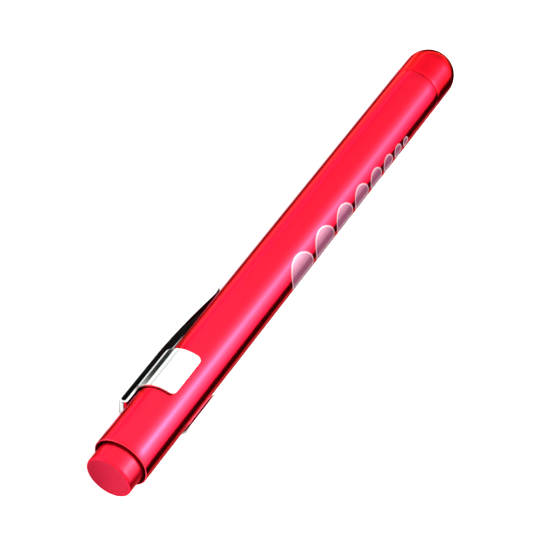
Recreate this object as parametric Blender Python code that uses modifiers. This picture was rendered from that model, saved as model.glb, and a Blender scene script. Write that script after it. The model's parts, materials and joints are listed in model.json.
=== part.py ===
"""Medical penlight with a pocket clip and a click switch, as separate parts.

The pen is modelled around its own axis: local +Z runs from the tail rim to the head, and local +X
points at the middle of the pocket clip. One empty lays that axis along world +X, so that the pen lies
on the band of its clip and on the lower edge of the clip's arm, the way it comes to rest on a table.
"""
import math

import bmesh
import bpy
from mathutils import Matrix, Vector

MM = 0.001

# ---- Driving dimensions --------------------------------------------------------------------------
# Along the axis, positions are measured from the tail rim of the barrel.
BODY_R = 6.25 * MM
BORE_R = 5.6 * MM
BARREL_LENGTH = 129.8 * MM
RIM_CHAMFER = 0.15 * MM
MOUTH_R = 6.0 * MM
MOUTH_DEPTH = 0.45 * MM
FACE_GAP = 0.3 * MM
SEAM_GAP = 0.15 * MM

DOME_CENTRE = 136.7 * MM
TIP_FLAT = 142.15 * MM
APERTURE_R = 2.75 * MM
THREAD_CREST_R = 5.5 * MM
THREAD_DEPTH = 0.3 * MM
THREAD_PITCH = 1.25 * MM
THREAD_START = 123.6 * MM
THREAD_TURNS = 4
SPIGOT_END = 122.9 * MM
SOCKET_R = 5.8 * MM
SOCKET_END = 122.5 * MM

BUTTON_R = 5.3 * MM
BUTTON_OUT = 4.6 * MM
BUTTON_IN = 5.0 * MM
BUTTON_TRAVEL = 2.2 * MM

CELL_LENGTH = 44.5 * MM
CELL_R = 5.2 * MM
CELL_CAP_HEIGHT = 1.2 * MM
CELL_CAP_R = 1.9 * MM
CAP_CHAMFER = 0.3 * MM
CELL_RECESS = 0.7 * MM
CAN_R = 4.7 * MM
CAN_WALL = 0.4 * MM
SLEEVE_WALL = 0.2 * MM
WASHER_R = 4.5 * MM
WASHER_BORE = 2.3 * MM
WASHER_HEIGHT = 0.4 * MM
REAR_CELL_START = 34.0 * MM

SHEET = 0.5 * MM
BAND_TAIL = 16.0 * MM
BAND_HEAD = 27.4 * MM
BAND_GAP = 0.2 * MM
BAND_CORNER_R = 1.2 * MM
NECK_FILLET_R = 0.6 * MM
FRONT_WING_END = math.radians(112)
BACK_WING_END = math.radians(-158)
FLARE_START = math.radians(-115)
FLARE = 0.1 * MM
SPINE_GAP = 0.1 * MM
SPINE_BLEND_START = math.radians(28)
SPINE_BLEND_END = math.radians(46)
ARM_HALF_WIDTH = 2.1 * MM
ARM_TIP_HALF_WIDTH = 1.5 * MM
ARM_REST = 0.3 * MM
TIP_LIFT = 0.35 * MM
FOLD_GAP = 1.1 * MM
FOLD_CENTRE = 12.9 * MM
# Along the arm, from the centre of its fold.
ARM_START = 0.3 * MM
ARM_STRAIGHT_END = 13.7 * MM
ARM_TOUCH = 35.0 * MM
ARM_TIP = 37.7 * MM
ARM_CURVE = 1.75

ROUND = 64
HEAD_SEGMENTS = 48
MEDIUM = 32
SMALL = 24

# ---- Worked out from the driving dimensions ------------------------------------------------------
BAND_INNER_R = BODY_R + BAND_GAP
BAND_OUTER_R = BAND_INNER_R + SHEET
SPINE_X = BODY_R + SPINE_GAP
SPINE_EDGE = math.atan2(ARM_HALF_WIDTH, SPINE_X)
FOLD_X = SPINE_X + SHEET + FOLD_GAP / 2
ARM_X = FOLD_X + FOLD_GAP / 2
ARM_OUTER_X = ARM_X + SHEET
ARM_CORNER_R = math.hypot(ARM_OUTER_X, ARM_HALF_WIDTH)
ARM_CORNER_ANGLE = math.atan2(ARM_HALF_WIDTH, ARM_OUTER_X)
# The clip's direction from straight down when the band and the arm's lower corner both touch the table.
CLIP_FROM_DOWN = math.acos(BAND_OUTER_R / ARM_CORNER_R) + ARM_CORNER_ANGLE
CLIP_FROM_UP = math.pi - CLIP_FROM_DOWN
WIDEST_Y = ARM_CORNER_R * math.sin(CLIP_FROM_UP - ARM_CORNER_ANGLE)

AXIS_PLACE = Vector((
    (BUTTON_OUT - TIP_FLAT) / 2,
    (BAND_OUTER_R - WIDEST_Y) / 2,
    BAND_OUTER_R,
))

# ---- Scene ---------------------------------------------------------------------------------------
for old in list(bpy.data.objects):
    bpy.data.objects.remove(old)

parts = bpy.data.collections.new("penlight")
cutters = bpy.data.collections.new("cutters")
bpy.context.scene.collection.children.link(parts)
bpy.context.scene.collection.children.link(cutters)


def make_axis():
    """The empty that carries the whole pen: local Z lies along world X, and local X points at the clip."""
    side, up = math.sin(CLIP_FROM_UP), math.cos(CLIP_FROM_UP)
    turn = Matrix(((0, 0, 1), (side, -up, 0), (up, side, 0)))
    empty = bpy.data.objects.new("pen_axis", None)
    empty.matrix_world = Matrix.Translation(AXIS_PLACE) @ turn.to_4x4()
    parts.objects.link(empty)
    return empty


axis = make_axis()


def material(name, colour, roughness, metallic):
    made = bpy.data.materials.new(name)
    made.use_nodes = True
    shader = made.node_tree.nodes["Principled BSDF"]
    shader.inputs["Base Color"].default_value = (*colour, 1)
    shader.inputs["Roughness"].default_value = roughness
    shader.inputs["Metallic"].default_value = metallic
    return made


RED = (0.62, 0.01, 0.04)
STEEL = (0.62, 0.62, 0.6)
BRASS = (0.75, 0.55, 0.25)
PALE_PLASTIC = (0.75, 0.75, 0.72)
DARK_PLASTIC = (0.05, 0.05, 0.05)
RUBBER = (0.02, 0.02, 0.02)
LABEL_BLUE = (0.12, 0.2, 0.4)
BOARD_GREEN = (0.03, 0.2, 0.08)
CLEAR_EPOXY = (0.9, 0.92, 0.95)


def place(obj, colour, roughness, metallic, at=(0, 0, 0)):
    """Gives an object its own material and hangs it on the pen's axis."""
    obj.data.materials.append(material(obj.name, colour, roughness, metallic))
    obj.parent = axis
    obj.location = at
    parts.objects.link(obj)
    return obj


def arc(centre_r, centre_z, radius, start, end, steps):
    """Points of a profile's round stretch, between angles in degrees: 0 points outward, 90 to the head."""
    angles = [math.radians(start + (end - start) * i / steps) for i in range(steps + 1)]
    return [(centre_r + radius * math.cos(a), centre_z + radius * math.sin(a)) for a in angles]


def turned(name, profile, segments, closed=True):
    """A turned piece: (radius, height) points, whose outer side runs from the head end to the tail."""
    mesh = bpy.data.meshes.new(name)
    edges = [(i, i + 1) for i in range(len(profile) - 1)]
    if closed:
        edges.append((len(profile) - 1, 0))
    mesh.from_pydata([(r, 0, z) for r, z in profile], edges, [])
    obj = bpy.data.objects.new(name, mesh)
    screw = obj.modifiers.new("turn", "SCREW")
    screw.axis = "Z"
    screw.angle = math.tau
    screw.steps = segments
    screw.render_steps = segments
    screw.use_merge_vertices = True
    screw.merge_threshold = 0.001 * MM
    screw.use_smooth_shade = True
    return obj


def ring(name, inner, outer, low, high, segments):
    return turned(name, [(inner, high), (outer, high), (outer, low), (inner, low)], segments)


def disc(name, radius, low, high, segments):
    return turned(name, [(0, high), (radius, high), (radius, low), (0, low)], segments, closed=False)


def coil(name, radius, wire_r, low, high, turns):
    """A compression spring, closer wound at its ends: its wire's centre runs from low to high."""
    points_per_turn, end_closing = 12, 0.74
    count = round(turns * points_per_turn)
    curve = bpy.data.curves.new(name, "CURVE")
    curve.dimensions = "3D"
    curve.bevel_depth = wire_r
    curve.bevel_resolution = 2
    curve.use_fill_caps = True
    spline = curve.splines.new("POLY")
    spline.points.add(count)
    for i, point in enumerate(spline.points):
        turn = math.tau * turns * i / count
        along = i / count
        eased = along - end_closing * math.sin(math.tau * along) / math.tau
        height = low + (high - low) * eased
        point.co = (radius * math.cos(turn), radius * math.sin(turn), height, 1)
    return bpy.data.objects.new(name, curve)


def baked(obj, name):
    """The object as its modifiers leave it, as a plain mesh object."""
    bpy.context.scene.collection.objects.link(obj)
    bpy.context.view_layer.update()
    mesh = bpy.data.meshes.new_from_object(obj.evaluated_get(bpy.context.evaluated_depsgraph_get()))
    bpy.data.objects.remove(obj)
    mesh.name = name
    return bpy.data.objects.new(name, mesh)


def cut(obj, cutter):
    """Takes a cutter's shape out of a piece; the cutter moves with the pen but is never part of it."""
    cutter.parent = axis
    cutter.hide_render = True
    cutter.display_type = "WIRE"
    cutters.objects.link(cutter)
    boolean = obj.modifiers.new("cut", "BOOLEAN")
    boolean.operation = "DIFFERENCE"
    boolean.solver = "EXACT"
    boolean.object = cutter


# ---- Barrel --------------------------------------------------------------------------------------
def make_barrel():
    """A drawn tube with a countersunk mouth for the button and a wider socket for the head's screw."""
    top = BARREL_LENGTH
    profile = [
        (SOCKET_R, top),
        (BODY_R - RIM_CHAMFER, top),
        (BODY_R, top - RIM_CHAMFER),
        (BODY_R, RIM_CHAMFER),
        (BODY_R - RIM_CHAMFER, 0),
        (MOUTH_R, 0),
        (BORE_R, MOUTH_DEPTH),
        (BORE_R, SOCKET_END - (SOCKET_R - BORE_R)),
        (SOCKET_R, SOCKET_END),
    ]
    place(turned("barrel", profile, ROUND), RED, 0.28, 0.9)


# ---- Switch --------------------------------------------------------------------------------------
# The cartridge in the tail: positions of its pieces along the axis.
HOUSING_TAIL = 7.6 * MM
HOUSING_HEAD = 22.6 * MM
COLLAR_TAIL = 8.8 * MM
COLLAR_HEAD = 10.6 * MM
COLLAR_R = 3.4 * MM
CARTRIDGE_R = 5.3 * MM
HOUSING_TAIL_BORE = 4.4 * MM
HOUSING_HEAD_BORE = 4.3 * MM
PLUNGER_R = 4.1 * MM
PLUNGER_SHOULDER = 6.0 * MM
STEM_R = 3.0 * MM
STEM_LIP_R = 3.9 * MM
STEM_END = COLLAR_HEAD + 1.0 * MM
ROTOR_HEIGHT = 3.4 * MM
ROTOR_START = STEM_END + FACE_GAP
CONTACT_START = ROTOR_START + ROTOR_HEIGHT + FACE_GAP
CONTACT_R = 3.6 * MM
CONTACT_DISC = 0.8 * MM
CONTACT_PIN_R = 0.8 * MM
RETURN_COIL_R = 2.6 * MM
RETURN_WIRE_R = 0.25 * MM
BASE_START = HOUSING_HEAD + FACE_GAP
BASE_END = BASE_START + 1.4 * MM
LOCK_START = BASE_END + FACE_GAP
LOCK_HEIGHT = 0.9 * MM
LOCK_BORE = 4.4 * MM
BATTERY_COIL_R = 3.4 * MM
BATTERY_WIRE_R = 0.3 * MM


def make_push_button():
    """A red cup that slides in the barrel's mouth, with a rounded edge round its flat end."""
    wall, floor, edge = 0.8 * MM, 1.2 * MM, 0.4 * MM
    profile = [(0, floor - BUTTON_OUT), (BUTTON_R - wall, floor - BUTTON_OUT)]
    profile += [(BUTTON_R - wall, BUTTON_IN), (BUTTON_R, BUTTON_IN)]
    profile += arc(BUTTON_R - edge, edge - BUTTON_OUT, edge, 0, -90, 4)
    profile.append((0, -BUTTON_OUT))
    place(turned("push_button", profile, HEAD_SEGMENTS, closed=False), RED, 0.3, 0.9)


def make_button_plunger():
    """The plastic core pressed into the button; its snap lip behind the collar holds the button in."""
    tail = -BUTTON_OUT + 1.5 * MM
    lip_tail, lip_height = COLLAR_HEAD + FACE_GAP, 0.3 * MM
    profile = [
        (0, STEM_END),
        (STEM_R, STEM_END),
        (STEM_LIP_R, lip_tail + lip_height),
        (STEM_LIP_R, lip_tail),
        (STEM_R, lip_tail),
        (STEM_R, PLUNGER_SHOULDER),
        (PLUNGER_R, PLUNGER_SHOULDER),
        (PLUNGER_R, tail),
        (0, tail),
    ]
    place(turned("button_plunger", profile, MEDIUM, closed=False), PALE_PLASTIC, 0.5, 0)


def make_switch_housing():
    """The plastic sleeve that guides the plunger in its collar and holds the rotor and the contact."""
    profile = [
        (HOUSING_HEAD_BORE, HOUSING_HEAD),
        (CARTRIDGE_R, HOUSING_HEAD),
        (CARTRIDGE_R, HOUSING_TAIL),
        (HOUSING_TAIL_BORE, HOUSING_TAIL),
        (HOUSING_TAIL_BORE, COLLAR_TAIL),
        (COLLAR_R, COLLAR_TAIL),
        (COLLAR_R, COLLAR_HEAD),
        (HOUSING_HEAD_BORE, COLLAR_HEAD),
    ]
    place(turned("switch_housing", profile, MEDIUM), DARK_PLASTIC, 0.5, 0)


def make_ratchet_rotor():
    """The indexing rotor: a toothed wheel that turns one step at each click."""
    teeth, root, tip = 8, 3.3 * MM, 3.95 * MM
    curve = bpy.data.curves.new("ratchet_rotor", "CURVE")
    curve.dimensions = "2D"
    curve.fill_mode = "BOTH"
    curve.extrude = ROTOR_HEIGHT / 2
    spline = curve.splines.new("POLY")
    step = math.tau / teeth
    outline = []
    for i in range(teeth):
        for turn, radius in ((0, root), (0.45, root), (0.5, tip), (0.95, tip)):
            angle = step * (i + turn)
            outline.append((radius * math.cos(angle), radius * math.sin(angle), 0, 1))
    spline.points.add(len(outline) - 1)
    for point, co in zip(spline.points, outline):
        point.co = co
    spline.use_cyclic_u = True
    rotor = bpy.data.objects.new("ratchet_rotor", curve)
    place(rotor, PALE_PLASTIC, 0.5, 0, at=(0, 0, ROTOR_START + ROTOR_HEIGHT / 2))


def make_moving_contact():
    """A brass disc with a pin that meets the base plate when the button is down."""
    pin_end = BASE_START - FACE_GAP - BUTTON_TRAVEL
    disc_end = CONTACT_START + CONTACT_DISC
    profile = [
        (0, pin_end),
        (CONTACT_PIN_R, pin_end),
        (CONTACT_PIN_R, disc_end),
        (CONTACT_R, disc_end),
        (CONTACT_R, CONTACT_START),
        (0, CONTACT_START),
    ]
    place(turned("moving_contact", profile, SMALL, closed=False), BRASS, 0.3, 1)


def make_return_spring():
    low = CONTACT_START + CONTACT_DISC + FACE_GAP + RETURN_WIRE_R
    high = BASE_START - FACE_GAP - RETURN_WIRE_R
    place(coil("return_spring", RETURN_COIL_R, RETURN_WIRE_R, low, high, 4.5), STEEL, 0.25, 1)


def make_switch_base():
    place(disc("switch_base", CARTRIDGE_R, BASE_START, BASE_END, MEDIUM), BRASS, 0.3, 1)


def make_lock_ring():
    """The ring that locks the switch cartridge in the bore."""
    lock = ring("lock_ring", LOCK_BORE, CARTRIDGE_R, LOCK_START, LOCK_START + LOCK_HEIGHT, MEDIUM)
    place(lock, STEEL, 0.3, 1)


def make_battery_spring():
    low = BASE_END + FACE_GAP + BATTERY_WIRE_R
    high = REAR_CELL_START - FACE_GAP - BATTERY_WIRE_R
    place(coil("battery_spring", BATTERY_COIL_R, BATTERY_WIRE_R, low, high, 5.5), STEEL, 0.25, 1)


# ---- Cells ---------------------------------------------------------------------------------------
def make_cell(name, start):
    """One AAA cell: steel can, filling, label sleeve, insulating washer and positive cap."""
    can_height = CELL_LENGTH - CELL_CAP_HEIGHT - CELL_RECESS
    top = can_height + FACE_GAP
    inner_r = CAN_R - CAN_WALL
    low, high = CAN_WALL + FACE_GAP, can_height - FACE_GAP
    cup = [(0, CAN_WALL), (inner_r, CAN_WALL), (inner_r, can_height)]
    cup += [(CAN_R, can_height), (CAN_R, 0), (0, 0)]
    cap = [(0, CELL_LENGTH), (CELL_CAP_R - CAP_CHAMFER, CELL_LENGTH)]
    cap += [(CELL_CAP_R, CELL_LENGTH - CAP_CHAMFER), (CELL_CAP_R, top), (0, top)]
    core = disc(name + "_core", inner_r - FACE_GAP, low, high, SMALL)
    sleeve = ring(name + "_sleeve", CELL_R - SLEEVE_WALL, CELL_R, FACE_GAP, top, SMALL)
    washer = ring(name + "_washer", WASHER_BORE, WASHER_R, top, top + WASHER_HEIGHT, SMALL)
    pieces = (
        (turned(name + "_can", cup, SMALL, closed=False), STEEL, 0.3, 1),
        (core, DARK_PLASTIC, 0.8, 0),
        (sleeve, LABEL_BLUE, 0.35, 0),
        (washer, DARK_PLASTIC, 0.6, 0),
        (turned(name + "_cap", cap, SMALL, closed=False), STEEL, 0.25, 1),
    )
    for obj, colour, roughness, metallic in pieces:
        place(obj, colour, roughness, metallic, at=(0, 0, start))


# ---- Head ----------------------------------------------------------------------------------------
SHOULDER = BARREL_LENGTH + SEAM_GAP
SEAL_WIRE = 0.35 * MM
SEAL_R = 5.25 * MM
SEAL_Z = SHOULDER - 0.55 * MM
GROOVE_R = 4.85 * MM
GROOVE_HALF_WIDTH = 0.4 * MM
HEAD_BORE_R = 4.55 * MM
LED_NECK_R = 3.6 * MM
LED_NECK_START = 134.5 * MM
LED_R = 2.5 * MM
LED_BASE = 132.6 * MM
LED_TOP = 141.2 * MM
LED_FLANGE_R = 2.9 * MM
LED_FLANGE = 1.0 * MM
HOLDER_R = 4.25 * MM
HOLDER_BORE = 3.2 * MM
HOLDER_SHELF = 0.7 * MM
BOARD_R = 4.2 * MM
BOARD_RING_BORE = 3.5 * MM
BOARD_RING_HEIGHT = 1.0 * MM
BOARD_START = 126.0 * MM
BOARD_END = 126.8 * MM
LEAD_OFFSET = 1.27 * MM
LEAD_R = 0.25 * MM
LEAD_HOLE_R = 0.55 * MM
RIVET_HEAD_R = 1.5 * MM
RIVET_FACE_R = 0.8 * MM
RIVET_FOOT_R = 0.7 * MM
RIVET_EDGE = 0.3 * MM
RIVET_HEIGHT = 1.0 * MM
RESISTOR_SIZE = Vector((2.0, 1.25, 0.5)) * MM
RESISTOR_OFFSET = 1.9 * MM


def thread_height(angle, z):
    """How far the thread stands out of its root, 0 to 1: a right-hand ridge that fades at both ends."""
    fade_share = 6
    along = (z - THREAD_START) / (THREAD_PITCH * THREAD_TURNS)
    phase = (z / THREAD_PITCH - angle / math.tau) % 1
    ridge = 1 - abs(2 * phase - 1)
    return ridge * min(1, max(0, along * fade_share), max(0, (1 - along) * fade_share))


def make_head_cap():
    """The domed nose: a screwed spigot with a seal groove, and a hole in its tip for the light."""
    root = THREAD_CREST_R - THREAD_DEPTH
    thread_end = THREAD_START + THREAD_PITCH * THREAD_TURNS
    rows_per_turn = 4
    rows = rows_per_turn * THREAD_TURNS
    dome_start = math.degrees(math.asin((TIP_FLAT - DOME_CENTRE) / BODY_R))
    groove_head, groove_tail = SEAL_Z + GROOVE_HALF_WIDTH, SEAL_Z - GROOVE_HALF_WIDTH
    lead_in = 0.2 * MM
    cone_tail, cone_head = LED_TOP - 3.0 * MM, LED_TOP - 2.0 * MM
    profile = [(APERTURE_R, TIP_FLAT)]
    profile += arc(0, DOME_CENTRE, BODY_R, dome_start, 0, 10)
    profile += [(BODY_R, SHOULDER + RIM_CHAMFER), (BODY_R - RIM_CHAMFER, SHOULDER), (root, SHOULDER)]
    profile += [(root, groove_head), (GROOVE_R, groove_head), (GROOVE_R, groove_tail), (root, groove_tail)]
    profile += [(root, thread_end - THREAD_PITCH / rows_per_turn * i) for i in range(rows + 1)]
    profile += [(root, SPIGOT_END + lead_in), (root - lead_in, SPIGOT_END), (HEAD_BORE_R, SPIGOT_END)]
    profile += [(HEAD_BORE_R, LED_NECK_START), (LED_NECK_R, LED_NECK_START)]
    profile += [(LED_NECK_R, cone_tail), (APERTURE_R, cone_head)]
    cap = baked(turned("head_cap_blank", profile, HEAD_SEGMENTS), "head_cap")
    for vertex in cap.data.vertices:
        x, y, z = vertex.co
        radius = math.hypot(x, y)
        if abs(radius - root) < 0.01 * MM and THREAD_START < z < thread_end:
            grown = root + THREAD_DEPTH * thread_height(math.atan2(y, x), z)
            vertex.co = (x * grown / radius, y * grown / radius, z)
    cap.data.shade_smooth()
    cap.data.set_sharp_from_angle(angle=math.radians(30))
    place(cap, RED, 0.28, 0.9)


def make_head_seal():
    """The rubber ring in the groove behind the head's shoulder."""
    profile = arc(SEAL_R, SEAL_Z, SEAL_WIRE, 90, -210, 5)
    place(turned("head_seal", profile, MEDIUM), RUBBER, 0.6, 0)


def lead_cutter(name, side):
    """The hole through which one of the light's legs passes."""
    hole = disc(name, LEAD_HOLE_R, BOARD_START - 1.0 * MM, LED_BASE, 12)
    hole.location = (side * LEAD_OFFSET, 0, 0)
    return hole


def make_led_holder():
    """The white cup that centres the light in the head."""
    tail = BOARD_END + FACE_GAP
    shelf = LED_BASE - FACE_GAP
    profile = [
        (0, shelf),
        (HOLDER_BORE, shelf),
        (HOLDER_BORE, LED_NECK_START - FACE_GAP),
        (HOLDER_R, LED_NECK_START - FACE_GAP),
        (HOLDER_R, tail),
        (HOLDER_BORE, tail),
        (HOLDER_BORE, shelf - HOLDER_SHELF),
        (0, shelf - HOLDER_SHELF),
    ]
    holder = turned("led_holder", profile, MEDIUM, closed=False)
    place(holder, PALE_PLASTIC, 0.4, 0)
    cut(holder, lead_cutter("holder_hole_a", 1))
    cut(holder, lead_cutter("holder_hole_b", -1))


def make_led():
    """A 5 mm light: its clear body with the rim, and its two legs."""
    flange_top = LED_BASE + LED_FLANGE
    profile = arc(0, LED_TOP - LED_R, LED_R, 90, 0, 8)
    profile[0] = (0, LED_TOP)
    profile += [(LED_R, flange_top), (LED_FLANGE_R, flange_top), (LED_FLANGE_R, LED_BASE), (0, LED_BASE)]
    place(turned("led_body", profile, SMALL, closed=False), CLEAR_EPOXY, 0.1, 0)
    for name, side in (("led_anode_lead", 1), ("led_cathode_lead", -1)):
        lead = disc(name, LEAD_R, BOARD_START - FACE_GAP, LED_BASE - SEAM_GAP, 8)
        place(lead, STEEL, 0.3, 1, at=(side * LEAD_OFFSET, 0, 0))


def make_circuit_board():
    board = disc("circuit_board", BOARD_R, BOARD_START, BOARD_END, MEDIUM)
    place(board, BOARD_GREEN, 0.5, 0)
    cut(board, lead_cutter("board_hole_a", 1))
    cut(board, lead_cutter("board_hole_b", -1))


def make_resistor():
    """The chip that limits the light's current, on the head side of the board."""
    mesh = bpy.data.meshes.new("resistor")
    shape = bmesh.new()
    bmesh.ops.create_cube(shape, size=1)
    bmesh.ops.scale(shape, vec=RESISTOR_SIZE, verts=shape.verts)
    shape.to_mesh(mesh)
    shape.free()
    resistor = bpy.data.objects.new("resistor", mesh)
    height = BOARD_END + SEAM_GAP + RESISTOR_SIZE.z / 2
    place(resistor, DARK_PLASTIC, 0.5, 0, at=(0, RESISTOR_OFFSET, height))


def make_contact_rivet():
    """The brass rivet on the board that meets the front cell's cap."""
    tail = REAR_CELL_START + 2 * CELL_LENGTH + 2 * FACE_GAP
    top = BOARD_START - SEAM_GAP
    shoulder = tail + RIVET_HEIGHT
    profile = [(0, top), (RIVET_FOOT_R, top), (RIVET_FOOT_R, shoulder), (RIVET_HEAD_R, shoulder)]
    profile += [(RIVET_HEAD_R, tail + RIVET_EDGE), (RIVET_FACE_R, tail), (0, tail)]
    place(turned("contact_rivet", profile, SMALL, closed=False), BRASS, 0.3, 1)


def make_board_ring():
    """The ring that holds the board and the light's cup in the head."""
    high = BOARD_START - FACE_GAP
    made = ring("board_ring", BOARD_RING_BORE, HOLDER_R, high - BOARD_RING_HEIGHT, high, MEDIUM)
    place(made, STEEL, 0.3, 1)


# ---- Clip ----------------------------------------------------------------------------------------
def smooth_step(value):
    held = min(1, max(0, value))
    return held * held * (3 - 2 * held)


def band_inner_radius(angle):
    """The band's inner face: flat behind the arm, easing on to the barrel, with a flared back end."""
    flat = SPINE_X / math.cos(min(abs(angle), SPINE_EDGE))
    blend = smooth_step((abs(angle) - SPINE_BLEND_START) / (SPINE_BLEND_END - SPINE_BLEND_START))
    flare = FLARE * smooth_step((FLARE_START - angle) / (FLARE_START - BACK_WING_END))
    return flat + (BAND_INNER_R - flat) * blend + flare


def corner_inset(distance, radius):
    """How far a rounded corner pulls an edge in, at a distance from the sheet's end."""
    if distance >= radius:
        return 0
    return radius - math.sqrt(radius * radius - (radius - distance) ** 2)


def band_angles():
    """Angles of the band's columns: even steps, and closer ones at the wings' corners and beside the neck."""
    steps, fine = 68, 5
    span = FRONT_WING_END - BACK_WING_END
    corner = BAND_CORNER_R / BAND_OUTER_R
    fillet = NECK_FILLET_R / BAND_OUTER_R
    angles = {BACK_WING_END + span * i / steps for i in range(steps + 1)}
    angles = {a for a in angles if abs(a) > SPINE_EDGE + fillet * 1.5}
    for i in range(1, fine):
        share = (i / fine) ** 2
        angles |= {BACK_WING_END + corner * share, FRONT_WING_END - corner * share}
        angles |= {side * (SPINE_EDGE + fillet * share) for side in (-1, 1)}
    angles |= {side * (SPINE_EDGE + fillet) for side in (-1, 1)}
    angles |= {SPINE_EDGE * share for share in (-1, -0.5, 0, 0.5, 1)}
    return sorted(angles)


def neck_path():
    """(x, z) of the sheet's inner face from the neck round the fold, up to where the arm goes on."""
    radius, steps = FOLD_GAP / 2 + SHEET, 14
    turns = [math.pi * i / steps for i in range(steps + 1)]
    return [(FOLD_X - radius * math.cos(t), FOLD_CENTRE - radius * math.sin(t)) for t in turns]


def thicken(obj):
    """Gives a sheet its thickness, on the side that its faces look to."""
    solid = obj.modifiers.new("sheet", "SOLIDIFY")
    solid.thickness = SHEET
    solid.offset = 1
    solid.use_even_offset = True


def make_clip_band():
    """Band, neck and fold: one stamped sheet that grips the barrel, open on the side away from the arm."""
    mesh = bpy.data.meshes.new("clip_band")
    shape = bmesh.new()
    columns, neck = [], []
    for angle in band_angles():
        radius = band_inner_radius(angle)
        x, y = radius * math.cos(angle), radius * math.sin(angle)
        from_end = min(angle - BACK_WING_END, FRONT_WING_END - angle) * BAND_OUTER_R
        inset = corner_inset(from_end, BAND_CORNER_R)
        from_neck = max(0, abs(angle) - SPINE_EDGE) * BAND_OUTER_R
        tail = BAND_TAIL + inset - corner_inset(from_neck, NECK_FILLET_R)
        columns.append((shape.verts.new((x, y, BAND_HEAD - inset)), shape.verts.new((x, y, tail))))
        if abs(angle) <= SPINE_EDGE:
            neck.append([columns[-1][1]] + [shape.verts.new((px, y, pz)) for px, pz in neck_path()])
    for left, right in list(zip(columns, columns[1:])) + list(zip(neck, neck[1:])):
        for i in range(len(left) - 1):
            shape.faces.new((left[i], left[i + 1], right[i + 1], right[i]))
    shape.to_mesh(mesh)
    shape.free()
    band = bpy.data.objects.new("clip_band", mesh)
    thicken(band)
    place(band, STEEL, 0.25, 1)


def arm_path():
    """The arm's inner face, from the fold's centre: (distance out, distance along), to the raised tip."""
    curve_steps, tip_steps = 12, 6
    rest = FOLD_GAP / 2
    drop = ARM_X - (BODY_R + ARM_REST)
    path = [(rest, ARM_START), (rest, ARM_STRAIGHT_END / 2)]
    for i in range(curve_steps + 1):
        share = i / curve_steps
        along = ARM_STRAIGHT_END + (ARM_TOUCH - ARM_STRAIGHT_END) * share
        path.append((rest - drop * share ** ARM_CURVE, along))
    for i in range(1, tip_steps + 1):
        share = i / tip_steps
        path.append((rest - drop + TIP_LIFT * share * share, ARM_TOUCH + (ARM_TIP - ARM_TOUCH) * share))
    return path


def arm_half_width(along):
    """The arm narrows towards its tip and ends in a round nose, cut flat where it is narrowest."""
    nose_flat = 0.94
    nose_start = ARM_TIP - ARM_TIP_HALF_WIDTH
    if along <= ARM_STRAIGHT_END:
        return ARM_HALF_WIDTH
    if along <= nose_start:
        share = (along - ARM_STRAIGHT_END) / (nose_start - ARM_STRAIGHT_END)
        return ARM_HALF_WIDTH + (ARM_TIP_HALF_WIDTH - ARM_HALF_WIDTH) * share
    share = min(nose_flat, (along - nose_start) / ARM_TIP_HALF_WIDTH)
    return ARM_TIP_HALF_WIDTH * math.sqrt(1 - share * share)


def make_clip_arm():
    """The spring arm, hinged at the middle of the fold."""
    mesh = bpy.data.meshes.new("clip_arm")
    shape = bmesh.new()
    rows = []
    for out, along in arm_path():
        half = arm_half_width(along)
        rows.append((shape.verts.new((out, -half, along)), shape.verts.new((out, half, along))))
    for (a, b), (c, d) in zip(rows, rows[1:]):
        shape.faces.new((a, b, d, c))
    shape.to_mesh(mesh)
    shape.free()
    arm = bpy.data.objects.new("clip_arm", mesh)
    thicken(arm)
    place(arm, STEEL, 0.25, 1, at=(FOLD_X, 0, FOLD_CENTRE))


make_barrel()
make_push_button()
make_button_plunger()
make_switch_housing()
make_ratchet_rotor()
make_moving_contact()
make_return_spring()
make_switch_base()
make_lock_ring()
make_battery_spring()
make_cell("rear_cell", REAR_CELL_START)
make_cell("front_cell", REAR_CELL_START + CELL_LENGTH + FACE_GAP)
make_head_cap()
make_head_seal()
make_led_holder()
make_led()
make_circuit_board()
make_resistor()
make_contact_rivet()
make_board_ring()
make_clip_band()
make_clip_arm()
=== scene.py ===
import json
import math

import bmesh
import bpy
from mathutils import Matrix, Vector


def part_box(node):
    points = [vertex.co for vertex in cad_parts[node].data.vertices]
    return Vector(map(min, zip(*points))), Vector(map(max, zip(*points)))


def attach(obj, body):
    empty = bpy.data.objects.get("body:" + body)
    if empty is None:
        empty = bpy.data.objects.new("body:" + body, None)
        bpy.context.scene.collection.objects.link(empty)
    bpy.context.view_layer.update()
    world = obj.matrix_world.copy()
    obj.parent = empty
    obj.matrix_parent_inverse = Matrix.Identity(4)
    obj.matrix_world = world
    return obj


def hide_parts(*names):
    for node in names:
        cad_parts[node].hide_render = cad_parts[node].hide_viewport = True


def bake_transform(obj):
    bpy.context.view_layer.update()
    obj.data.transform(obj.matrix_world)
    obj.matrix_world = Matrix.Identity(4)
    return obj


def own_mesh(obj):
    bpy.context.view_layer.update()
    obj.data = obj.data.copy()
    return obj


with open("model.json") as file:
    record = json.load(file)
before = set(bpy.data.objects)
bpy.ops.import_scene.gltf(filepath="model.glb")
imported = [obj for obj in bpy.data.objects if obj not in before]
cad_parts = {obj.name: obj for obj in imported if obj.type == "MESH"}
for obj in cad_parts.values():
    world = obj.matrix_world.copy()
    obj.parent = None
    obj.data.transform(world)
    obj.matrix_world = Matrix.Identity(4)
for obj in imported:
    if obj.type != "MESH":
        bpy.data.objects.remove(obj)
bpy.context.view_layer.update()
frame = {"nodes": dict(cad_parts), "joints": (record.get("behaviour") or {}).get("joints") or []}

MM = 0.001

# ---- The pen's own frame ------------------------------------------------------------------------
# Pen coordinates: z runs along the axis from the tail rim to the head, x points at the clip's middle
# and y lies beside it. An angle goes from x towards y. All in metres.


def joint(name):
    return next(j for j in frame["joints"] if j["name"] == name)


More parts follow.
